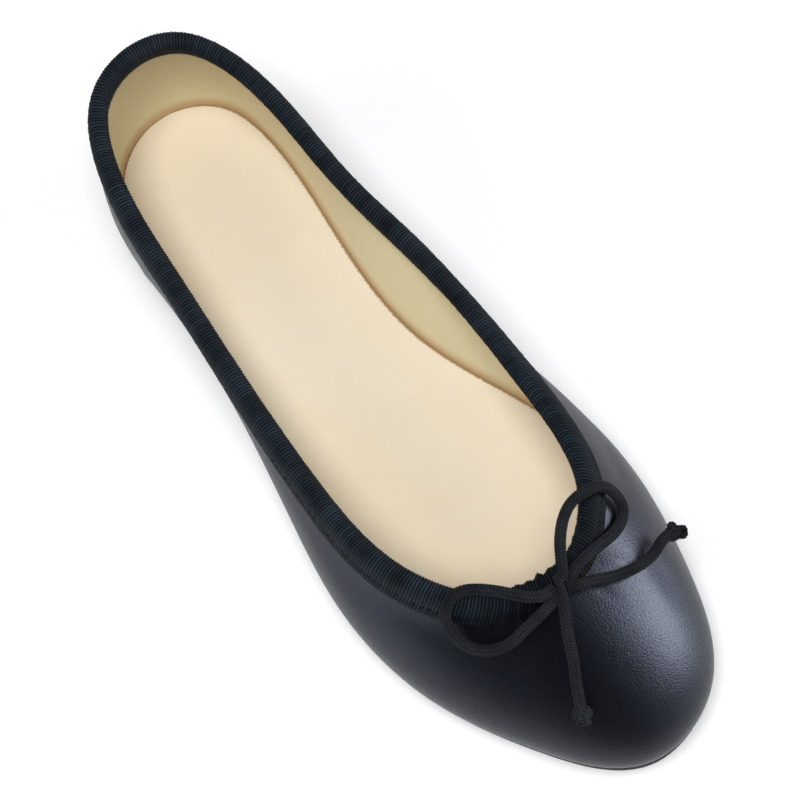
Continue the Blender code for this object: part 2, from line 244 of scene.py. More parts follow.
class BalletFlatSizes(bpy.types.PropertyGroup):
    """Real sizes of the shoe, the same as in the frame."""

    length: size_property("Length", 0.241, "Length of the feather line, where the upper meets the sole")
    ball_width: size_property("Ball width", 0.081, "Width of the feather line at the ball of the foot")
    back_height: size_property("Back height", 0.056, "Height of the top edge above the floor at the heel")
    throat_height: size_property("Throat height", 0.042, "Height of the top edge at the throat")
    wall: size_property("Upper", 0.0018, "Thickness of the upper with its lining")
    skin: size_property("Outer leather", 0.0010, "Thickness of the outer leather alone")
    tape: size_property("Tape", 0.0008, "Thickness of the binding tape")
    tape_outer_leg: size_property("Tape outside", 0.0070, "Width of the tape down the outside")
    tape_inner_leg: size_property("Tape inside", 0.0036, "Width of the tape down the inside")
    drawstring_lift: size_property("Drawstring lift", 0.0006, "Lift of the tape over the drawstring")
    outsole: size_property("Outsole", 0.0026, "Thickness of the outsole")
    outsole_edge: size_property("Outsole edge", 0.0007, "Reach of the outsole past the feather line")
    insole: size_property("Insole", 0.0026, "Thickness of the insole with its board")
    sock: size_property("Sock", 0.0011, "Thickness of the insole's top leather")
    insole_clearance: size_property("Insole clearance", 0.0006, "Gap between the insole and the upper")
    heel_height: size_property("Heel height", 0.0080, "Height of the heel under the outsole")
    heel_length: size_property("Heel length", 0.056, "Length of the heel on the outsole")
    heel_inset: size_property("Heel inset", 0.0006, "How far the heel stands in from the outsole's edge")
    seat_run: size_property("Seat run", 0.0040, "From the front of the heel to the start of the arch")
    toe_spring: size_property("Toe spring", 0.0055, "Height of the sole's underside at the toe")
    cord: size_property("Cord", 0.0030, "Diameter of the drawstring")
    gap: size_property("Gap", 0.0003, "Gap between pieces that touch")


class BalletFlatColours(bpy.types.PropertyGroup):
    """Colours of the materials."""

    calf: colour_property("Navy leather", "#0a0d13", "Calf leather of the upper")
    calf_deep: colour_property("Leather valleys", "#06080c", "Calf leather in the valleys of its grain")
    # Painted light and shade of the tape and the cord: the crest and crown colours are painted light on their
    # tops, the groove colours are painted shade between them.
    tape: colour_property("Tape ribs", "#303a45", "Crests of the tape's ribs")
    tape_groove_shade: colour_property("Tape grooves", "#06080b", "Grooves between the tape's ribs")
    cord: colour_property("Cord strands", "#2e3238", "Crowns of the cord's strands")
    cord_groove_shade: colour_property("Cord grooves", "#070708", "Grooves between the cord's strands")
    thread: colour_property("Thread", "#11151c", "Thread of the seam on the tape")
    sock: colour_property("Insole leather", "#ece0cb", "Cream leather of the insole")
    lining: colour_property("Lining", "#e6dbb9", "Cream leather that lines the upper")
    edge: colour_property("Raw edge", "#ab8a60", "Cut edge of the insole's leather")
    sole: colour_property("Sole", "#141416", "Black rubber of the outsole and the heel")
    floor: colour_property("Floor", "#f4f4f5", "Floor under the shoe")


def unit(vectors):
    return vectors / np.linalg.norm(vectors, axis=-1, keepdims=True)


def smooth_curve(points, places, axes, closed):
    """The cubic spline through the rows of points, at shares of its length by the rows' first axes."""
    rows = np.array(points, float)
    if closed:
        rows = np.vstack([rows, rows[:1]])
    spans = np.linalg.norm(np.diff(rows[:, :axes], axis=0), axis=1)
    knots = np.concatenate([[0.0], np.cumsum(spans)])
    steps = np.diff(rows, axis=0) / spans[:, None]
    matrix, right = np.eye(len(rows)), np.zeros_like(rows)
    for i in range(1, len(rows) - 1):
        matrix[i, i - 1 : i + 2] = spans[i - 1], 2 * (spans[i - 1] + spans[i]), spans[i]
        right[i] = 6 * (steps[i] - steps[i - 1])
    if closed:
        matrix[0, -1] = -1
        matrix[-1, :2] = 2 * spans[0], spans[0]
        matrix[-1, -2:] = spans[-1], 2 * spans[-1]
        right[-1] = 6 * (steps[0] - steps[-1])
    bends = np.linalg.solve(matrix, right)
    along = np.asarray(places) * knots[-1]
    index = np.clip(np.searchsorted(knots, along, side="right") - 1, 0, len(spans) - 1)
    span = spans[index][:, None]
    share = ((along - knots[index]) / spans[index])[:, None]
    rest = 1 - share
    bend = (rest**3 - rest) * bends[index] + (share**3 - share) * bends[index + 1]
    return rest * rows[index] + share * rows[index + 1] + bend * span**2 / 6


def round_places(count):
    """Even shares of the way round the last."""
    return np.arange(count) / count


def sole_bottom(sizes, x):
    """Height of the outsole's underside: level at the heel, down the arch, flat at the ball, toe spring."""
    seat_end, ball_start = sizes.heel_length + sizes.seat_run, BALL_START * sizes.length
    ball_end = BALL_END * sizes.length
    arch = np.clip((x - seat_end) / (ball_start - seat_end), 0, 1)
    toe = np.clip((x - ball_end) / (sizes.length - ball_end), 0, None)
    return (sizes.heel_height + sizes.gap) * (1 + np.cos(math.pi * arch)) / 2 + sizes.toe_spring * toe**2


def insole_bottom(sizes, x):
    return sole_bottom(sizes, x) + sizes.outsole + sizes.gap


def plan_normals(loop):
    """Outward directions in plan of a closed loop that runs along -Y to the toe and back along +Y."""
    along = np.roll(loop, -1, axis=0) - np.roll(loop, 1, axis=0)
    return unit(np.stack([along[:, 1], -along[:, 0], np.zeros(len(loop))], axis=1))


def last_lines(sizes, places):
    """At each place the feather line, the top edge, the belly and the width of the tape outside."""
    scale = (
        sizes.length, sizes.ball_width, sizes.length, sizes.ball_width,
        sizes.back_height, sizes.throat_height, sizes.ball_width, sizes.tape_outer_leg,
    )
    rows = smooth_curve(np.array(STATIONS) * np.array(scale), places, 2, True)
    feather = np.column_stack([rows[:, 0], rows[:, 1], insole_bottom(sizes, rows[:, 0])])
    top = np.column_stack([rows[:, 2], rows[:, 3], rows[:, 4] + rows[:, 5]])
    return feather, top, rows[:, 6:7], rows[:, 7]


def upper_surface(sizes, places, steps):
    """Outer face of the upper as points[step, place]: at each place a curved rib from sole to top edge.

    On the sides the rib rises steeply and leans in at the top. Over the toes it runs back almost level.
    """
    feather, top, belly, _ = last_lines(sizes, places)
    rise = np.array([0.0, 0.0, 1.0]) * (top - feather)[:, 2:3]
    inward = (top - feather) * np.array([1.0, 1.0, 0.0])
    vamp = np.clip(np.linalg.norm(inward, axis=1, keepdims=True) / (VAMP_RUN * sizes.ball_width), 0, 1)
    lean = plan_normals(feather) * belly
    low = feather + lean + rise * LOW_HANDLE_RISE
    side_handle = rise * SIDE_HANDLE_RISE - lean * SIDE_HANDLE_LEAN
    vamp_handle = inward * VAMP_HANDLE_RUN + rise * VAMP_HANDLE_RISE
    high = top - vamp_handle * vamp - side_handle * (1 - vamp)
    share = np.linspace(0, 1, steps)[:, None, None]
    rest = 1 - share
    return feather * rest**3 + low * 3 * share * rest**2 + high * 3 * share**2 * rest + top * share**3


def surface_normals(points):
    along = np.roll(points, -1, axis=1) - np.roll(points, 1, axis=1)
    return unit(np.cross(along, np.gradient(points, axis=0)))


def frame_shift(sizes):
    """The way from the back of the heel to the frame's origin."""
    low, high = (np.array(corner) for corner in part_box("upper"))
    points = upper_surface(sizes, round_places(FRAME_COLUMNS), FRAME_STEPS).reshape(-1, 3)
    way = (low + high) / 2 - (points.min(axis=0) + points.max(axis=0)) / 2
    return np.array([way[0], way[1], 0.0])


def below_top(points, normals, distances, offset):
    """On each rib the point that lies its distance below the top edge, moved out along its normal."""
    steps = np.linalg.norm(np.diff(points[::-1], axis=0), axis=2)
    depths = np.vstack([np.zeros(points.shape[1]), np.cumsum(steps, axis=0)])
    place, normal = np.empty(points.shape[1:]), np.empty(points.shape[1:])
    for column, distance in enumerate(distances):
        for axis in range(3):
            place[column, axis] = np.interp(distance, depths[:, column], points[::-1, column, axis])
            normal[column, axis] = np.interp(distance, depths[:, column], normals[::-1, column, axis])
    return place + unit(normal) * offset


def leather_relief(sizes, points, normals):
    """Creases of the upper and the turn of its lower edge, as heights along the normals."""
    steps, columns = points.shape[:2]
    height = np.zeros((steps, columns))
    for around, up, length, width, turn, depth in CREASES:
        row, column = round(up * (steps - 1)), round(around * columns) % columns
        middle, normal = points[row, column], normals[row, column]
        ahead = unit(points[row, (column + 1) % columns] - points[row, column - 1])
        angle = math.radians(turn)
        along = ahead * math.cos(angle) + np.cross(normal, ahead) * math.sin(angle)
        away = points - middle
        across = away @ np.cross(normal, along) / (width * sizes.ball_width)
        ends = away @ along / (length * sizes.ball_width)
        other_side = away @ normal / (0.3 * sizes.ball_width)
        height += depth * sizes.wall * np.exp(-(across**2) - ends**2 - other_side**2)
    climb = np.vstack([np.zeros(columns), np.cumsum(np.linalg.norm(np.diff(points, axis=0), axis=2), axis=0)])
    return height - 0.45 * MM * np.exp(-((climb / (1.3 * MM)) ** 2))


def arc_lengths(points):
    return np.concatenate([[0.0], np.cumsum(np.linalg.norm(np.diff(points, axis=0), axis=1))])


def closed_columns(grid):
    """The grid with its first column once more at its end."""
    return np.concatenate([grid, grid[:, :1]], axis=1)


def sheet_mesh(points, uv, values=None, value_name="relief"):
    """A flat grid moved to points[row, column], with a UV map in metres and a value at each point."""
    rows, columns = points.shape[:2]
    bm = bmesh.new()
    bmesh.ops.create_grid(bm, x_segments=columns - 1, y_segments=rows - 1, size=1.0)
    uv_layer = bm.loops.layers.uv.new("surface")
    value_layer = bm.verts.layers.float.new(value_name)
    places = {}
    for vert in bm.verts:
        row, column = round((vert.co.y + 1) / 2 * (rows - 1)), round((vert.co.x + 1) / 2 * (columns - 1))
        places[vert] = row, column
    for vert, place in places.items():
        vert.co = points[place]
        vert[value_layer] = 0.0 if values is None else values[place]
    for face in bm.faces:
        for loop in face.loops:
            loop[uv_layer].uv = uv[places[loop.vert]]
    bmesh.ops.remove_doubles(bm, verts=bm.verts, dist=1e-6)
    return bm


def add_piece(name, bm, materials, shift):
    """Makes the bmesh an object whose place is in its mesh, and lets it ride on the frame."""
    bmesh.ops.translate(bm, vec=Vector(shift), verts=bm.verts)
    mesh = bpy.data.meshes.new(name)
    bm.to_mesh(mesh)
    bm.free()
    mesh.shade_smooth()
    for material in materials:
        mesh.materials.append(material)
    piece = bpy.data.objects.new(name, mesh)
    bpy.context.scene.collection.objects.link(piece)
    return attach(piece, "root")


def add_wall(piece, thickness, rim_material=0):
    """Gives a sheet its thickness, under the face that shows."""
    wall = piece.modifiers.new("wall", "SOLIDIFY")
    wall.thickness = thickness
    wall.offset = -1
    wall.use_even_offset = True
    wall.material_offset_rim = rim_material
    return wall


def add_node(tree, kind, inputs, **settings):
    """Adds a node with its settings. An input is a value, or the output that it is linked to."""
    node = tree.nodes.new(kind)
    for name, value in settings.items():
        setattr(node, name, value)
    for name, value in inputs.items():
        if isinstance(value, bpy.types.NodeSocket):
            tree.links.new(value, node.inputs[name])
        else:
            node.inputs[name].default_value = value
    return node


def new_material(name):
    """A material with only its shader, and the two."""
    material = bpy.data.materials.new(name)
    material.use_nodes = True
    shader = material.node_tree.nodes["Principled BSDF"]
    return material, material.node_tree, shader


def calf_leather(colours):
    """Aniline-dyed calf, lightly waxed: a fine pebble grain with burnished tops breaks its soft gloss."""
    material, tree, shader = new_material("navy_calf_leather")
    place = add_node(tree, "ShaderNodeTexCoord", {}).outputs["Object"]
    wander = add_node(tree, "ShaderNodeTexNoise", {"Vector": place, "Scale": 1 / (2.5 * MM), "Detail": 2.0})
    bent = add_node(
        tree, "ShaderNodeVectorMath", {0: wander.outputs["Color"], 1: (0.3 * MM,) * 3, 2: place},
        operation="MULTIPLY_ADD",
    ).outputs["Vector"]
    # The real grain is about 0.4 mm across, which is under two pixels here, so it is drawn at 0.5 mm.
    pebbles = add_node(
        tree, "ShaderNodeTexVoronoi", {"Vector": bent, "Scale": 1 / (0.50 * MM), "Smoothness": 0.15},
        feature="SMOOTH_F1",
    ).outputs["Distance"]
    hide = add_node(tree, "ShaderNodeTexNoise", {"Vector": place, "Scale": 1 / (14 * MM), "Detail": 3.0})
    inputs = {"Height": hide.outputs["Fac"], "Distance": 0.25 * MM, "Strength": 0.4}
    soft = add_node(tree, "ShaderNodeBump", inputs)
    grain = add_node(
        tree, "ShaderNodeBump",
        {"Height": pebbles, "Distance": 0.07 * MM, "Strength": 0.9, "Normal": soft.outputs["Normal"]},
        invert=True,
    )
    depth = add_node(
        tree, "ShaderNodeMapRange", {"Value": pebbles, "From Min": 0.15, "From Max": 0.65}
    ).outputs["Result"]
    colour = add_node(
        tree, "ShaderNodeMix", {0: depth, 6: tuple(colours.calf), 7: tuple(colours.calf_deep)},
        data_type="RGBA",
    )
    gloss = add_node(tree, "ShaderNodeMapRange", {"Value": depth, "To Min": 0.40, "To Max": 0.48})
    tree.links.new(colour.outputs[2], shader.inputs["Base Color"])
    tree.links.new(gloss.outputs["Result"], shader.inputs["Roughness"])
    tree.links.new(grain.outputs["Normal"], shader.inputs["Normal"])
    shader.inputs["Specular Tint"].default_value = linear("#c4d0ee")
    shader.inputs["Coat Weight"].default_value = 0.12
    shader.inputs["Coat Roughness"].default_value = 0.30
    return material


def relief_cloth(name, high, low, thread, roughness, sheen):
    """Matt cloth with its woven relief in the mesh: painted light on its crests, painted shade in its
    grooves, loose fibres.
    """
    material, tree, shader = new_material(name)
    place = add_node(tree, "ShaderNodeTexCoord", {}).outputs["Object"]
    relief = add_node(tree, "ShaderNodeAttribute", {}, attribute_name="relief").outputs["Fac"]
    fibres = add_node(tree, "ShaderNodeTexNoise", {"Vector": place, "Scale": 1 / thread, "Detail": 3.0})
    worn = add_node(tree, "ShaderNodeTexNoise", {"Vector": place, "Scale": 1 / (9 * MM), "Detail": 2.0})
    # Painted light and shade: the relief attribute makes the colour light on the crests and nearly black in
    # the grooves.
    shade = add_node(
        tree, "ShaderNodeMath", {0: fibres.outputs["Fac"], 1: 0.5, 2: relief}, operation="MULTIPLY_ADD"
    )
    shade = add_node(
        tree, "ShaderNodeMapRange", {"Value": shade.outputs[0], "From Min": 0.30, "From Max": 1.25}
    ).outputs["Result"]
    shade = add_node(
        tree, "ShaderNodeMath", {0: shade, 1: worn.outputs["Fac"]}, operation="MULTIPLY"
    )
    shade = add_node(tree, "ShaderNodeMapRange", {"Value": shade.outputs[0], "From Max": 0.60})
    colour = add_node(tree, "ShaderNodeMix", {0: shade.outputs["Result"], 6: low, 7: high}, data_type="RGBA")
    fuzz = add_node(
        tree, "ShaderNodeBump", {"Height": fibres.outputs["Fac"], "Distance": 0.06 * MM, "Strength": 0.6}
    )
    tree.links.new(colour.outputs[2], shader.inputs["Base Color"])
    tree.links.new(fuzz.outputs["Normal"], shader.inputs["Normal"])
    shader.inputs["Roughness"].default_value = roughness
    shader.inputs["Specular IOR Level"].default_value = 0.10
    shader.inputs["Sheen Weight"].default_value = sheen
    shader.inputs["Sheen Roughness"].default_value = 0.45
    return material


def grosgrain_tape(colours):
    """Ribbed rayon tape: stout ribs across it, with a dull lustre painted as light on their crests and shade
    painted in their grooves.
    """
    return relief_cloth(
        "navy_ribbed_tape", tuple(colours.tape), tuple(colours.tape_groove_shade), 0.22 * MM, 0.72, 0.01
    )


def braided_cotton(colours):
    """Round braid of matt cotton: painted light on the crowns of its strands, painted shade, deep black, in
    its grooves.
    """
    return relief_cloth(
        "charcoal_braided_cord", tuple(colours.cord), tuple(colours.cord_groove_shade), 0.20 * MM, 0.88, 0.03
    )


def sewing_thread(colours):
    """Polyester sewing thread: smooth and slightly shiny, laid in tight stitches."""
    material, tree, shader = new_material("navy_sewing_thread")
    place = add_node(tree, "ShaderNodeTexCoord", {}).outputs["Object"]
    twist = add_node(tree, "ShaderNodeTexNoise", {"Vector": place, "Scale": 1 / (0.3 * MM), "Detail": 1.0})
    # Painted light and shade along the twist of the thread, between the tape's groove shade and the thread's
    # colour.
    lit = add_node(
        tree, "ShaderNodeMix",
        {0: twist.outputs["Fac"], 6: tuple(colours.tape_groove_shade), 7: tuple(colours.thread)},
        data_type="RGBA",
    )
    tree.links.new(lit.outputs[2], shader.inputs["Base Color"])
    shader.inputs["Roughness"].default_value = 0.6
    shader.inputs["Specular IOR Level"].default_value = 0.1
    return material


def sock_leather(colours):
    """Cream sheepskin for the foot to rest on: even, finely pored, with a satin finish."""
    material, tree, shader = new_material("cream_sock_leather")
    place = add_node(tree, "ShaderNodeTexCoord", {}).outputs["Object"]
    clouds = add_node(tree, "ShaderNodeTexNoise", {"Vector": place, "Scale": 1 / (35 * MM), "Detail": 3.0})
    pores = add_node(tree, "ShaderNodeTexVoronoi", {"Vector": place, "Scale": 1 / (0.6 * MM)})
    pores = pores.outputs["Distance"]
    inputs = {"Value": clouds.outputs["Fac"], "From Min": 0.3, "From Max": 0.75}
    tint = add_node(tree, "ShaderNodeMapRange", inputs)
    colour = add_node(
        tree, "ShaderNodeMix",
        {0: tint.outputs["Result"], 6: tuple(colours.sock), 7: linear("#e7d9c0")}, data_type="RGBA",
    )
    skin = add_node(tree, "ShaderNodeBump", {"Height": pores, "Distance": 0.03 * MM, "Strength": 0.35})
    gloss = add_node(
        tree, "ShaderNodeMapRange", {"Value": clouds.outputs["Fac"], "To Min": 0.42, "To Max": 0.56}
    )
    fibres = add_node(tree, "ShaderNodeTexNoise", {"Vector": place, "Scale": 1 / (0.7 * MM), "Detail": 3.0})
    rim = add_node(tree, "ShaderNodeAttribute", {}, attribute_name="relief").outputs["Fac"]
    frayed = add_node(tree, "ShaderNodeMath", {0: fibres.outputs["Fac"], 1: rim}, operation="ADD")
    frayed = add_node(
        tree, "ShaderNodeMapRange", {"Value": frayed.outputs[0], "From Min": 0.95, "From Max": 1.35}
    )
    colour = add_node(
        tree, "ShaderNodeMix",
        {0: frayed.outputs["Result"], 6: colour.outputs[2], 7: tuple(colours.edge)}, data_type="RGBA",
    )
    tree.links.new(colour.outputs[2], shader.inputs["Base Color"])
    tree.links.new(gloss.outputs["Result"], shader.inputs["Roughness"])
    tree.links.new(skin.outputs["Normal"], shader.inputs["Normal"])
    shader.inputs["Specular IOR Level"].default_value = 0.4
    return material


def cut_edge(colours):
    """Cut edge of vegetable-tanned leather and fibreboard: tan and fibrous, without any finish."""
    material, tree, shader = new_material("tan_cut_edge")
    place = add_node(tree, "ShaderNodeTexCoord", {}).outputs["Object"]
    fibres = add_node(tree, "ShaderNodeTexNoise", {"Vector": place, "Scale": 1 / (0.5 * MM), "Detail": 4.0})
    colour = add_node(
        tree, "ShaderNodeMix", {0: fibres.outputs["Fac"], 6: linear("#8f6a3e"), 7: tuple(colours.edge)},
        data_type="RGBA",
    )
    rough = add_node(
        tree, "ShaderNodeBump", {"Height": fibres.outputs["Fac"], "Distance": 0.25 * MM, "Strength": 0.8}
    )
    tree.links.new(colour.outputs[2], shader.inputs["Base Color"])
    tree.links.new(rough.outputs["Normal"], shader.inputs["Normal"])
    shader.inputs["Roughness"].default_value = 0.92
    return material


def lining_leather(colours):
    """Cream pigskin lining: satin, drawn along the shoe, with a painted tan shade where it goes down to the
    insole.
    """
    material, tree, shader = new_material("cream_lining_leather")
    coordinates = add_node(tree, "ShaderNodeTexCoord", {})
    flat = add_node(tree, "ShaderNodeSeparateXYZ", {"Vector": coordinates.outputs["UV"]})
    streak_place = add_node(
        tree, "ShaderNodeMapping", {"Vector": coordinates.outputs["UV"], "Scale": (60.0, 500.0, 1.0)}
    )
    streaks = add_node(tree, "ShaderNodeTexNoise", {"Vector": streak_place.outputs["Vector"], "Detail": 2.0})
    drawn = add_node(
        tree, "ShaderNodeMix",
        {0: streaks.outputs["Fac"], 6: tuple(colours.lining), 7: linear("#d8ca9f")}, data_type="RGBA",
    )
    # Painted shade: the lining turns tan within 3.2 to 7.5 mm of its lower edge, next to the insole, where
    # shade and warm bounce light would fall.
    above = add_node(
        tree, "ShaderNodeMapRange", {"Value": flat.outputs["Y"], "From Min": 3.2 * MM, "From Max": 7.5 * MM},
        interpolation_type="SMOOTHSTEP",
    )
    colour = add_node(
        tree, "ShaderNodeMix", {0: above.outputs["Result"], 6: linear("#c7ab80"), 7: drawn.outputs[2]},
        data_type="RGBA",
    )
    pores = add_node(
        tree, "ShaderNodeTexVoronoi", {"Vector": coordinates.outputs["Object"], "Scale": 1 / (0.7 * MM)}
    )
    skin = add_node(
        tree, "ShaderNodeBump", {"Height": pores.outputs["Distance"], "Distance": 0.03 * MM, "Strength": 0.3}
    )
    tree.links.new(colour.outputs[2], shader.inputs["Base Color"])
    tree.links.new(skin.outputs["Normal"], shader.inputs["Normal"])
    shader.inputs["Roughness"].default_value = 0.46
    return material


def sole_rubber(colours):
    """Moulded black rubber: satin, with the faint speckle of its filler."""
    material, tree, shader = new_material("black_sole_rubber")
    place = add_node(tree, "ShaderNodeTexCoord", {}).outputs["Object"]
    speckle = add_node(tree, "ShaderNodeTexNoise", {"Vector": place, "Scale": 1 / (0.6 * MM), "Detail": 3.0})
    smears = add_node(tree, "ShaderNodeTexNoise", {"Vector": place, "Scale": 1 / (18 * MM), "Detail": 2.0})
    colour = add_node(
        tree, "ShaderNodeMix", {0: smears.outputs["Fac"], 6: tuple(colours.sole), 7: linear("#1d1d20")},
        data_type="RGBA",
    )
    inputs = {"Value": smears.outputs["Fac"], "To Min": 0.55, "To Max": 0.75}
    gloss = add_node(tree, "ShaderNodeMapRange", inputs)
    skin = add_node(
        tree, "ShaderNodeBump", {"Height": speckle.outputs["Fac"], "Distance": 0.08 * MM, "Strength": 0.5}
    )
    tree.links.new(colour.outputs[2], shader.inputs["Base Color"])
    tree.links.new(gloss.outputs["Result"], shader.inputs["Roughness"])
    tree.links.new(skin.outputs["Normal"], shader.inputs["Normal"])
    shader.inputs["Specular IOR Level"].default_value = 0.2
    return material


def pale_floor(colours):
    """White lacquered top of a round photo table, lit a little from below."""
    material, tree, shader = new_material("pale_photo_table")
    place = add_node(tree, "ShaderNodeTexCoord", {}).outputs["Object"]
    clouds = add_node(tree, "ShaderNodeTexNoise", {"Vector": place, "Scale": 2.0, "Detail": 1.0})
    colour = add_node(
        tree, "ShaderNodeMix", {0: clouds.outputs["Fac"], 6: tuple(colours.floor), 7: linear("#f0f0f1")},
        data_type="RGBA",
    )
    tree.links.new(colour.outputs[2], shader.inputs["Base Color"])
    shader.inputs["Roughness"].default_value = 0.7
    # The lamps reach its rim less than its middle, so that the rim glows more.
    away = add_node(tree, "ShaderNodeVectorMath", {0: place}, operation="LENGTH").outputs["Value"]
    glow = add_node(
        tree, "ShaderNodeMapRange",
        {"Value": away, "From Min": 0.35, "From Max": FLOOR_RADIUS, "To Min": 0.18, "To Max": 0.65},
    )
    tree.links.new(glow.outputs["Result"], shader.inputs["Emission Strength"])
    shader.inputs["Emission Color"].default_value = linear("#ffffff")
    return material


def surface_uv(grid):
    """For each point of a grid the distances in metres along its middle row and up its column."""
    rows, columns = grid.shape[:2]
    along = np.broadcast_to(arc_lengths(grid[rows // 2]), (rows, columns))
    up = np.vstack([np.zeros(columns), np.cumsum(np.linalg.norm(np.diff(grid, axis=0), axis=2), axis=0)])
    return np.stack([along, up], axis=-1)


def rib_places(sizes):
    """Places round the last, several to each rib of the tape and evenly spaced along the top edge."""
    shares = np.append(round_places(4000), 1.0)
    arcs = arc_lengths(last_lines(sizes, shares % 1.0)[1])
    columns = round(arcs[-1] / RIB_PITCH) * len(RIB_PROFILE)
    return np.interp(round_places(columns) * arcs[-1], arcs, shares)


def tape_rows(sizes, places):
    """Inner face of the tape, row by row: up outside the upper, round the drawstring and down inside."""
    outer_leg = last_lines(sizes, places)[3]
    points = upper_surface(sizes, places, 60)
    normals = surface_normals(points)
    out, up = normals[-1], unit(points[-1] - points[-3])
    middle = points[-1] - out * sizes.wall / 2
    bead = sizes.wall / 2 + sizes.gap + sizes.drawstring_lift
    rows = [below_top(points, normals, outer_leg * share, sizes.gap + rise) for share, rise in LEG_ROWS]
    for degrees in BEAD_ANGLES:
        turn = math.radians(degrees)
        rows.append(middle + bead * (math.cos(turn) * out + math.sin(turn) * up))
    inner_leg = np.full(len(places), sizes.tape_inner_leg)
    rows.append(below_top(points, normals, inner_leg, -sizes.wall - sizes.gap))
    return np.array(rows)


def tape_face(sizes, places):
    """Outer face of the tape before its ribs, its normals, and the way up from the outer edge."""
    rows = tape_rows(sizes, places)
    shares = np.linspace(0, 1, TAPE_ROWS)
    face = smooth_curve(rows.reshape(len(rows), -1), shares, 3, False).reshape(TAPE_ROWS, -1, 3)
    normals = surface_normals(face)
    face = face + normals * sizes.tape
    across = np.cumsum(np.linalg.norm(np.diff(face, axis=0), axis=2), axis=0)
    return rows, face, normals, np.vstack([np.zeros(len(places)), across])


def stitch_height(sizes, places):
    """How far the seam lies above the outer edge of the tape."""
    return (1 - STITCH_LINE) * last_lines(sizes, places)[3]


def gather(from_knot, up):
    """Puckers of the tape where the drawstring comes out: waves beside the knot, and bumps on the edge."""
    waves = 0.28 * MM * np.exp(-((from_knot / (13 * MM)) ** 2)) * np.sin(2 * math.pi * from_knot / (3.1 * MM))
    bumps = sum(
        height * MM * np.exp(-(((from_knot - place * MM) / (1.1 * MM)) ** 2))
        for place, height in ((-1.9, 0.8), (2.1, 0.8), (7.5, 0.4))
    )
    return waves + bumps * up


def braid_relief(turn, along):
    """Height of a round braid, from 0 in the grooves to 1 on the crowns, at an angle and a length along it.

    Each strand runs over two others and then under two, so the crowns lie in rows of Vs.
    """
    rightward = BRAID_STRANDS * turn / (2 * math.pi) + along / BRAID_ROW
    leftward = BRAID_STRANDS * turn / (2 * math.pi) - along / BRAID_ROW
    column = (np.floor(rightward) + np.floor(leftward)) % 4
    right_over = column < 2
    across = np.where(right_over, rightward % 1, leftward % 1)
    ahead = np.where(right_over, column + leftward % 1, column - 2 + rightward % 1) / 2
    return np.sin(math.pi * across) ** 0.7 * (0.35 + 0.65 * np.sin(math.pi * ahead) ** 0.6)


def braided_tube(path, diameter):
    """A braided cord along a path, as a bmesh with its relief, closed at both ends."""
    tangents = unit(np.gradient(path, axis=0))
    normals = [unit(np.cross(tangents[0], (0.31, 0.17, 0.93)))]
    for tangent in tangents[1:]:
        normals.append(unit(normals[-1] - tangent * (normals[-1] @ tangent)))
    normals = np.array(normals)
    sides = np.cross(tangents, normals)
    turns = 2 * math.pi * np.arange(CORD_COLUMNS + 1) / CORD_COLUMNS
    along = arc_lengths(path)
    relief = braid_relief(turns % (2 * math.pi), along[:, None])
    radius = (diameter / 2 + BRAID_DEPTH * (relief - 0.75))[..., None]
    spokes = normals[:, None] * np.cos(turns)[:, None] + sides[:, None] * np.sin(turns)[:, None]
    points = path[:, None] + radius * spokes
    uv = np.stack(np.broadcast_arrays(turns * diameter / 2, along[:, None]), axis=-1)
    # The relief also sets the cord's colour: painted light on the crowns, painted shade in the grooves.
    bm = sheet_mesh(points, uv, relief)
    bmesh.ops.holes_fill(bm, edges=[edge for edge in bm.edges if edge.is_boundary])
    return bm


def even_path(points, closed=False):
    """The smooth curve through the points, cut into steps that are short enough for the braid."""
    rough = smooth_curve(points, np.linspace(0, 1, 200), 3, closed)
    count = round(arc_lengths(rough)[-1] / CORD_STEP) + 1
    return smooth_curve(points, np.linspace(0, 1, count), 3, closed)


def fray(bm, place, direction, radius, length, count, seed):
    """Loose fibres at a cut end of the cord."""
    chance = np.random.default_rng(seed)
    axis = Vector(direction).normalized()
    for _ in range(count):
        angle, out = chance.uniform(0, 2 * math.pi), radius * math.sqrt(chance.uniform(0, 1))
        side = axis.orthogonal().normalized()
        side.rotate(Matrix.Rotation(angle, 3, axis))
        way = (axis + side * chance.uniform(0.0, 0.9)).normalized()
        reach = length * chance.uniform(0.5, 1.0)
        middle = Vector(place) + side * out + way * reach / 2
        turn = way.to_track_quat("Z", "Y").to_matrix().to_4x4()
        bmesh.ops.create_cone(
            bm, cap_ends=True, segments=4, radius1=0.09 * MM, radius2=0.03 * MM, depth=reach,
            matrix=Matrix.Translation(middle) @ turn,
        )


def outline_rungs(sizes, offset, count, last=None, height=0.0):
    """Rungs across the last's outline at a height above the feather line, moved out by offset.

    They are x, outer y and inner y, closest together at the ends.
    """
    places = round_places(1200)
    feather = last_lines(sizes, places)[0]
    ribs = upper_surface(sizes, places, 60)
    edge = feather.copy()
    for column in range(len(places)):
        for axis in range(2):
            edge[column, axis] = np.interp(
                feather[column, 2] + height, ribs[:20, column, 2], ribs[:20, column, axis]
            )
    edge = edge + plan_normals(edge) * offset
    edge = np.roll(edge, -int(edge[:, 0].argmin()), axis=0)
    toe = int(edge[:, 0].argmax())
    outer, inner = edge[: toe + 1], np.vstack([edge[:1], edge[: toe - 1 : -1]])
    first = edge[0, 0]
    if last is None:
        turn = math.pi * (np.arange(count) + 0.5) / count
        x = first + (edge[toe, 0] - first) * (1 - np.cos(turn)) / 2
    else:
        turn = math.pi / 2 * (np.arange(count) + 1) / count
        x = first + (last - first) * (1 - np.cos(turn))
    return x, np.interp(x, outer[:, 0], outer[:, 1]), np.interp(x, inner[:, 0], inner[:, 1])


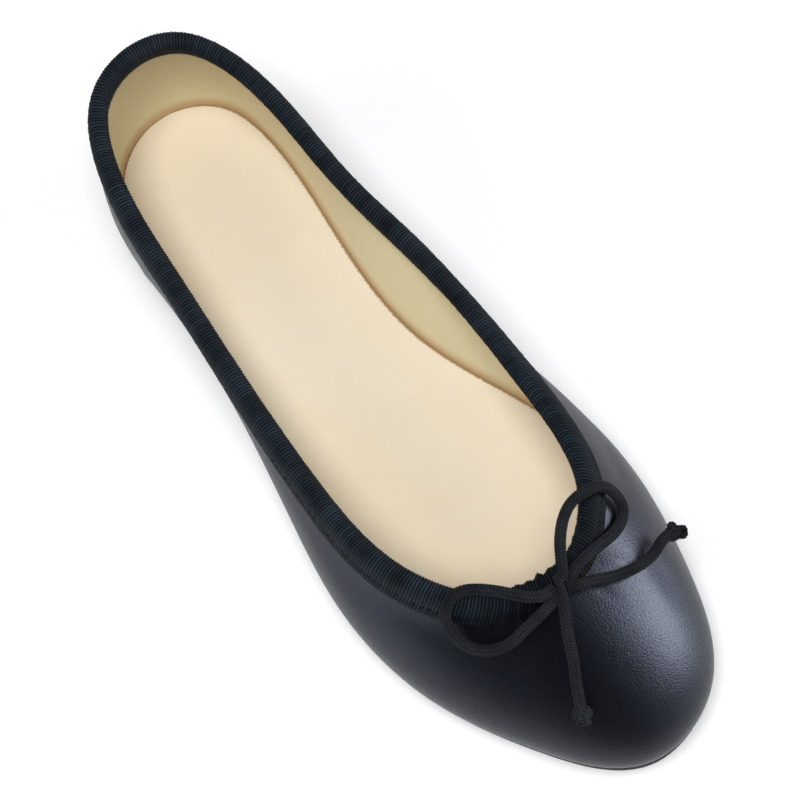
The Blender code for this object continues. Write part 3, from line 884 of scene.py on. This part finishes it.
def sole_sheet(sizes, offset, rungs, parts, height=0.0):
    """Plan points of a sheet over the outline as points[part, rung], all at height zero."""
    x, outer, inner = outline_rungs(sizes, offset, rungs, height=height)
    turn = math.pi * np.linspace(0, 1, parts + 1)[:, None]
    y = outer + (inner - outer) * (1 - np.cos(turn)) / 2
    return np.stack([np.broadcast_to(x, y.shape), y, np.zeros(y.shape)], axis=-1)


class SHOE_OT_stage(bpy.types.Operator):
    """Puts the camera at the viewpoint, and the photo table and its soft lights round the shoe"""

    bl_idname = "ballet_flat.stage"
    bl_label = "Stage"

    def execute(self, context):
        sizes, colours = context.scene.ballet_flat_sizes, context.scene.ballet_flat_colours
        azimuth, elevation = math.radians(VIEW_AZIMUTH), math.radians(VIEW_ELEVATION)
        right = Vector((math.cos(azimuth), math.sin(azimuth), 0.0))
        level = math.cos(elevation)
        back = Vector((math.sin(azimuth) * level, -math.cos(azimuth) * level, math.sin(elevation)))
        above = back.cross(right)
        eye = Vector(VIEW_TARGET) + back * VIEW_DISTANCE + Vector(frame_shift(sizes))
        camera = bpy.data.objects.new("camera", bpy.data.cameras.new("camera"))
        camera.data.sensor_width = SENSOR_WIDTH
        camera.data.lens = LENS
        forward = (Vector(AIM) - eye).normalized()
        across = forward.cross(above).normalized()
        turned = Matrix((across, across.cross(forward), -forward)).transposed().to_4x4()
        camera.matrix_world = Matrix.Translation(eye) @ turned
        context.scene.collection.objects.link(camera)
        context.scene.camera = camera
        self.add_floor(context, colours)
        for name, towards, distance, size, power, colour, on_matt, on_gloss in LIGHTS:
            way = Vector(towards).normalized()
            lamp = bpy.data.lights.new(name, "AREA")
            lamp.shape = "DISK"
            lamp.size, lamp.energy, lamp.color = size, power, linear(colour)[:3]
            holder = bpy.data.objects.new(name, lamp)
            holder.location = way * distance
            holder.rotation_euler = way.to_track_quat("Z", "Y").to_euler()
            holder.visible_diffuse, holder.visible_glossy = on_matt, on_gloss
            context.scene.collection.objects.link(holder)
        world = bpy.data.worlds.new("soft_room")
        world.use_nodes = True
        room = world.node_tree.nodes["Background"]
        room.inputs["Color"].default_value = linear(ROOM_COLOUR)
        seen = add_node(world.node_tree, "ShaderNodeLightPath", {}).outputs["Is Camera Ray"]
        strength = add_node(
            world.node_tree, "ShaderNodeMapRange", {"Value": seen, "To Min": ROOM_STRENGTH, "To Max": 0.95}
        )
        world.node_tree.links.new(strength.outputs["Result"], room.inputs["Strength"])
        context.scene.world = world
        context.scene.view_settings.view_transform = "Standard"
        return {"FINISHED"}

    def add_floor(self, context, colours):
        bm = bmesh.new()
        bmesh.ops.create_circle(bm, cap_ends=True, segments=160, radius=FLOOR_RADIUS)
        mesh = bpy.data.meshes.new("floor")
        bm.to_mesh(mesh)
        bm.free()
        mesh.materials.append(pale_floor(colours))
        floor = bpy.data.objects.new("floor", mesh)
        context.scene.collection.objects.link(floor)


class SHOE_OT_bow_cords(bpy.types.Operator):
    """Lays the drawstring's two loops and two ends over the throat"""

    bl_idname = "ballet_flat.bow_cords"
    bl_label = "Bow Cords"

    def execute(self, context):
        sizes = context.scene.ballet_flat_sizes
        shift = frame_shift(sizes)
        cotton = bpy.data.materials["charcoal_braided_cord"]
        knot = np.array(KNOT_PLACE)
        for name, route in CORD_ROUTES.items():
            side = 1 if "medial" in name else -1
            heart = tuple(knot + np.array(HEART_OFFSETS[name]) * MM)
            if "loop" in name:
                points = (heart, *route, tuple(knot + np.array((0.8, 1.4 * side, -1.4)) * MM))
            else:
                end_knot = name.replace("bow_end", "end_knot")
                points = (heart, *route, END_KNOT_PLACES[end_knot])
            path = even_path(points)
            bm = braided_tube(path, sizes.cord)
            cord = add_piece(name.replace("bow_", "") + "_cord", bm, [cotton], shift)
            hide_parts(name)
        return {"FINISHED"}


class SHOE_OT_knots(bpy.types.Operator):
    """Ties the bow's knot and the overhand knot at each end of the cord"""

    bl_idname = "ballet_flat.knots"
    bl_label = "Knots"

    def execute(self, context):
        sizes, colours = context.scene.ballet_flat_sizes, context.scene.ballet_flat_colours
        shift = frame_shift(sizes)
        cotton = braided_cotton(colours)
        strand = braided_tube(even_path(self.wrap_points()), sizes.cord * 0.68)
        wrap = add_piece("bow_knot_wrap", strand, [cotton], shift)
        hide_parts("bow_knot")
        for name, place in END_KNOT_PLACES.items():
            bm = self.overhand(place, *END_KNOT_TURNS[name], sizes.cord)
            knot = add_piece(name + "_tied", bm, [cotton], shift)
            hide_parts(name)
        return {"FINISHED"}

    def wrap_points(self):
        """Over the bow's middle from the heel's side to the toe's side, and round below it."""
        turns = np.radians(np.arange(-50, 231, 28))
        reach, rise = 2.7 * MM, 2.3 * MM
        drift = np.linspace(-1.7, 1.7, len(turns)) * MM
        points = np.stack([reach * np.cos(turns), drift, rise * np.sin(turns)], axis=1)
        return points + np.array(KNOT_PLACE) + np.array((0.1, 0.0, -0.3)) * MM

    def overhand(self, place, axis, lead, reach, fibres, diameter):
        """A tight overhand knot about an axis, with a short cut end that opens round its dark core."""
        turns = np.linspace(0, 2 * math.pi, 25)[:-1]
        x = np.sin(turns) + 2 * np.sin(2 * turns)
        y = np.cos(turns) - 2 * np.cos(2 * turns)
        loops = END_KNOT_SIZE * np.stack([x, y, -np.sin(3 * turns)], axis=1)
        turn = Vector(axis).to_track_quat("Z", "Y").to_matrix()
        loops = loops @ np.array(turn).T + np.array(place)
        bm = braided_tube(even_path(loops, closed=True), diameter * 0.80)
        start, way = np.array(place), unit(np.array(lead, float))
        stub = braided_tube(even_path([start, start + way * reach / 2, start + way * reach]), diameter * 1.22)
        caps = [face for face in stub.faces if len(face.verts) > 4]
        cap = max(caps, key=lambda face: face.normal @ Vector(way))
        bmesh.ops.inset_region(stub, faces=[cap], thickness=0.50 * MM, depth=0.0, use_even_offset=True)
        bmesh.ops.translate(stub, vec=Vector(way) * -0.8 * MM, verts=cap.verts)
        mesh = bpy.data.meshes.new("stub")
        stub.to_mesh(mesh)
        stub.free()
        bm.from_mesh(mesh)
        bpy.data.meshes.remove(mesh)
        fray(bm, start + way * (reach - 0.9 * MM), way, diameter * 0.40, 1.5 * MM, fibres, fibres)
        return bm


class SHOE_OT_upper(bpy.types.Operator):
    """Models the outer leather of the upper with its soft creases"""

    bl_idname = "ballet_flat.upper"
    bl_label = "Outer Leather"

    def execute(self, context):
        sizes, colours = context.scene.ballet_flat_sizes, context.scene.ballet_flat_colours
        points = upper_surface(sizes, round_places(UPPER_COLUMNS), UPPER_STEPS)
        normals = surface_normals(points)
        grid = closed_columns(points + normals * leather_relief(sizes, points, normals)[..., None])
        bm = sheet_mesh(grid, surface_uv(grid))
        upper = add_piece("upper_leather", bm, [calf_leather(colours)], frame_shift(sizes))
        add_wall(upper, sizes.skin)
        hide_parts("upper")
        return {"FINISHED"}


class SHOE_OT_lining(bpy.types.Operator):
    """Lines the upper with cream leather"""

    bl_idname = "ballet_flat.lining"
    bl_label = "Lining"

    def execute(self, context):
        sizes, colours = context.scene.ballet_flat_sizes, context.scene.ballet_flat_colours
        points = upper_surface(sizes, round_places(LINING_COLUMNS), LINING_STEPS)
        grid = closed_columns(points - surface_normals(points) * (sizes.skin + 0.05 * MM))
        bm = sheet_mesh(grid, surface_uv(grid))
        lining = add_piece("upper_lining", bm, [lining_leather(colours)], frame_shift(sizes))
        add_wall(lining, sizes.wall - sizes.skin - 0.1 * MM)
        return {"FINISHED"}


class SHOE_OT_binding(bpy.types.Operator):
    """Folds the ribbed tape over the top edge and the drawstring, and sews it down"""

    bl_idname = "ballet_flat.binding"
    bl_label = "Topline Binding"

    def execute(self, context):
        sizes, colours = context.scene.ballet_flat_sizes, context.scene.ballet_flat_colours
        shift = frame_shift(sizes)
        places = rib_places(sizes)
        inner, face, normals, across = tape_face(sizes, places)
        seam = stitch_height(sizes, places)
        along = arc_lengths(face[TAPE_ROWS // 2])
        knot = np.linalg.norm(face[TAPE_ROWS // 2] - np.array(KNOT_PLACE), axis=1).argmin()
        count = len(places) // len(RIB_PROFILE)
        strengths = np.repeat(np.random.default_rng(5).uniform(0.75, 1.1, count), len(RIB_PROFILE))
        ribs = np.tile(RIB_PROFILE, count) * strengths * np.where(across < seam, 0.85, 1.0)
        groove = np.exp(-(((across - seam) / (0.42 * MM)) ** 2))
        pulls = 0.6 + 0.4 * np.cos(2 * math.pi * along / STITCH_PITCH)
        up = np.clip((across - seam) / (across[-1] * 0.55 - seam), 0, 1)
        height = RIB_HEIGHT * ribs - 0.22 * MM * groove * pulls + gather(along - along[knot], up)
        face = face + normals * height[..., None]
        # Painted shade of the bow: the tape's colour is darkened within a few cm of the knot, most on its
        # outer leg, where the loops would shade it.
        painted_bow_shade = 1 - 0.88 * np.exp(-(((along - along[knot]) / (24 * MM)) ** 2)) * (1 - 0.75 * up)
        # Painted shade in the seam's groove: the relief is darkened along the stitch line, most where the
        # stitches pull.
        relief = np.clip(ribs, 0, 1) ** 1.4 * (1 - 0.5 * groove * pulls) * painted_bow_shade
        back = inner[[-1, -3, -5, -7, 2, 1, 0]]
        grid = np.concatenate([face, back, face[:1]])
        values = np.concatenate([relief, np.zeros(back.shape[:2]), relief[:1]])
        grid, values = closed_columns(grid), closed_columns(values)
        tape = add_piece(
            "topline_tape", sheet_mesh(grid, surface_uv(grid), values), [grosgrain_tape(colours)], shift
        )
        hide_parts("topline_binding")
        columns = zip(seam, across.T, face.transpose(1, 0, 2))
        seam_line = np.array([[np.interp(s, a, axis) for axis in f.T] for s, a, f in columns])
        self.sew(seam_line, normals[2], colours, shift)
        return {"FINISHED"}

    def sew(self, line, normals, colours, shift):
        bm = bmesh.new()
        along = arc_lengths(line)
        for step in range(int(along[-1] / STITCH_PITCH)):
            column = min(int(np.searchsorted(along, (step + 0.5) * STITCH_PITCH)), len(line) - 4)
            way = Vector(line[column + 3] - line[column - 3]).normalized()
            out = Vector(normals[column])
            axes = Matrix((out.cross(way) * STITCH_RADIUS, out * STITCH_RADIUS, way * STITCH_LENGTH / 2))
            place = Matrix.Translation(Vector(line[column]) + out * STITCH_RADIUS * 0.2)
            bmesh.ops.create_uvsphere(
                bm, u_segments=8, v_segments=6, radius=1.0, matrix=place @ axes.transposed().to_4x4()
            )
        seam = add_piece("tape_seam", bm, [sewing_thread(colours)], shift)


class SHOE_OT_insole(bpy.types.Operator):
    """Lays the cream sock with its cut edge on its board"""

    bl_idname = "ballet_flat.insole"
    bl_label = "Insole"

    def execute(self, context):
        sizes, colours = context.scene.ballet_flat_sizes, context.scene.ballet_flat_colours
        shift = frame_shift(sizes)
        edge = cut_edge(colours)
        sheet = sole_sheet(sizes, -sizes.wall - 0.1 * MM, 180, 40, sizes.insole)
        share = sheet[..., 0] / sizes.length
        width = (sheet[-1, :, 1] - sheet[0, :, 1])[None, :]
        from_inner = sheet[-1, :, 1][None, :] - sheet[..., 1]
        from_edge = np.minimum(from_inner, sheet[..., 1] - sheet[0, :, 1][None, :])
        waist = np.exp(-(((share - 0.45) / 0.13) ** 2))
        lift = 0.8 * MM * waist * np.exp(-((from_inner / (2.5 * MM)) ** 2))
        hollow = 0.5 * MM * np.sin(math.pi * from_edge / width)
        cup = 0.35 * MM * np.exp(-((from_edge / (5 * MM)) ** 2)) - hollow
        sheet[..., 2] = insole_bottom(sizes, sheet[..., 0]) + sizes.insole + lift + cup * 0.6
        bm = sheet_mesh(sheet, surface_uv(sheet), np.exp(-((from_edge / (0.8 * MM)) ** 2)))
        sock = add_piece("insole_sock", bm, [sock_leather(colours), edge], shift)
        add_wall(sock, sizes.sock, rim_material=1)
        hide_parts("insole")
        board_sheet = sole_sheet(sizes, -sizes.wall - sizes.insole_clearance - 0.4 * MM, 120, 8)
        under = insole_bottom(sizes, board_sheet[..., 0]) + sizes.insole - sizes.sock - 0.45 * MM
        board_sheet[..., 2] = under
        board = add_piece("insole_board", sheet_mesh(board_sheet, surface_uv(board_sheet)), [edge], shift)
        add_wall(board, sizes.insole - sizes.sock - 0.5 * MM)
        return {"FINISHED"}


class SHOE_OT_sole(bpy.types.Operator):
    """Models the thin outsole and the low heel with its top piece"""

    bl_idname = "ballet_flat.sole"
    bl_label = "Outsole and Heel"

    def execute(self, context):
        sizes, colours = context.scene.ballet_flat_sizes, context.scene.ballet_flat_colours
        shift = frame_shift(sizes)
        rubber = sole_rubber(colours)
        sheet = sole_sheet(sizes, sizes.outsole_edge - 0.3 * MM, 200, 20)
        sheet[..., 2] = sole_bottom(sizes, sheet[..., 0]) + sizes.outsole
        outsole = add_piece("outsole_rubber", sheet_mesh(sheet, surface_uv(sheet)), [rubber], shift)
        add_wall(outsole, sizes.outsole)
        self.round_edges(outsole, 0.45 * MM)
        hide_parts("outsole")
        heel = add_piece("heel_block", self.heel_mesh(sizes), [rubber], shift)
        heel.data.set_sharp_from_angle(angle=math.radians(35))
        self.round_edges(heel, 0.25 * MM)
        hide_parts("heel")
        return {"FINISHED"}

    def round_edges(self, piece, width):
        edge = piece.modifiers.new("edge", "BEVEL")
        edge.width = width
        edge.segments = 3
        edge.affect = "EDGES"
        edge.profile = 0.5
        edge.material = -1
        edge.limit_method = "ANGLE"
        edge.angle_limit = math.radians(50)

    def heel_mesh(self, sizes):
        """The block, drawn in towards the floor, with a groove above its top piece."""
        x, outer, inner = outline_rungs(sizes, -sizes.heel_inset, 40, sizes.heel_length)
        outline = np.array([*zip(x, outer), *zip(x[::-1], inner[::-1])])
        middle = np.array([sizes.heel_length / 2, 0.0])
        bm = bmesh.new()
        bmesh.ops.create_circle(bm, cap_ends=True, segments=len(outline), radius=1.0)
        for vert, place in zip(bm.verts, outline):
            vert.co = (*place, sizes.heel_height)
        bm.faces.ensure_lookup_table()
        face, drawn = bm.faces[0], 1.0
        for height, draw in HEEL_LEVELS:
            made = bmesh.ops.extrude_face_region(bm, geom=[face])["geom"]
            for vert in [item for item in made if isinstance(item, bmesh.types.BMVert)]:
                flat = middle + (np.array(vert.co[:2]) - middle) * draw / drawn
                vert.co = (*flat, height * sizes.heel_height)
            face, drawn = next(item for item in made if isinstance(item, bmesh.types.BMFace)), draw
        bmesh.ops.recalc_face_normals(bm, faces=bm.faces)
        return bm


class SHOE_PT_pieces(bpy.types.Panel):
    """Lists the pieces of the shoe in the order in which they are made."""

    bl_idname = "SHOE_PT_pieces"
    bl_label = "Ballet Flat"
    bl_space_type = "VIEW_3D"
    bl_region_type = "UI"
    bl_category = "Ballet Flat"

    def draw(self, context):
        for operator in OPERATORS:
            self.layout.operator(operator.bl_idname)
        for group in (context.scene.ballet_flat_sizes, context.scene.ballet_flat_colours):
            box = self.layout.box()
            for name in group.__annotations__:
                box.prop(group, name)


OPERATORS = (
    SHOE_OT_stage,
    SHOE_OT_knots,
    SHOE_OT_bow_cords,
    SHOE_OT_upper,
    SHOE_OT_lining,
    SHOE_OT_binding,
    SHOE_OT_insole,
    SHOE_OT_sole,
)
CLASSES = (BalletFlatSizes, BalletFlatColours, *OPERATORS, SHOE_PT_pieces)


def register():
    for cls in CLASSES:
        bpy.utils.register_class(cls)
    bpy.types.Scene.ballet_flat_sizes = bpy.props.PointerProperty(type=BalletFlatSizes)
    bpy.types.Scene.ballet_flat_colours = bpy.props.PointerProperty(type=BalletFlatColours)


def unregister():
    del bpy.types.Scene.ballet_flat_colours
    del bpy.types.Scene.ballet_flat_sizes
    for cls in reversed(CLASSES):
        bpy.utils.unregister_class(cls)


def main():
    register()
    bpy.ops.ballet_flat.stage()
    bpy.ops.ballet_flat.knots()
    bpy.ops.ballet_flat.bow_cords()
    bpy.ops.ballet_flat.upper()
    bpy.ops.ballet_flat.lining()
    bpy.ops.ballet_flat.binding()
    bpy.ops.ballet_flat.insole()
    bpy.ops.ballet_flat.sole()


if __name__ == "__main__":
    main()
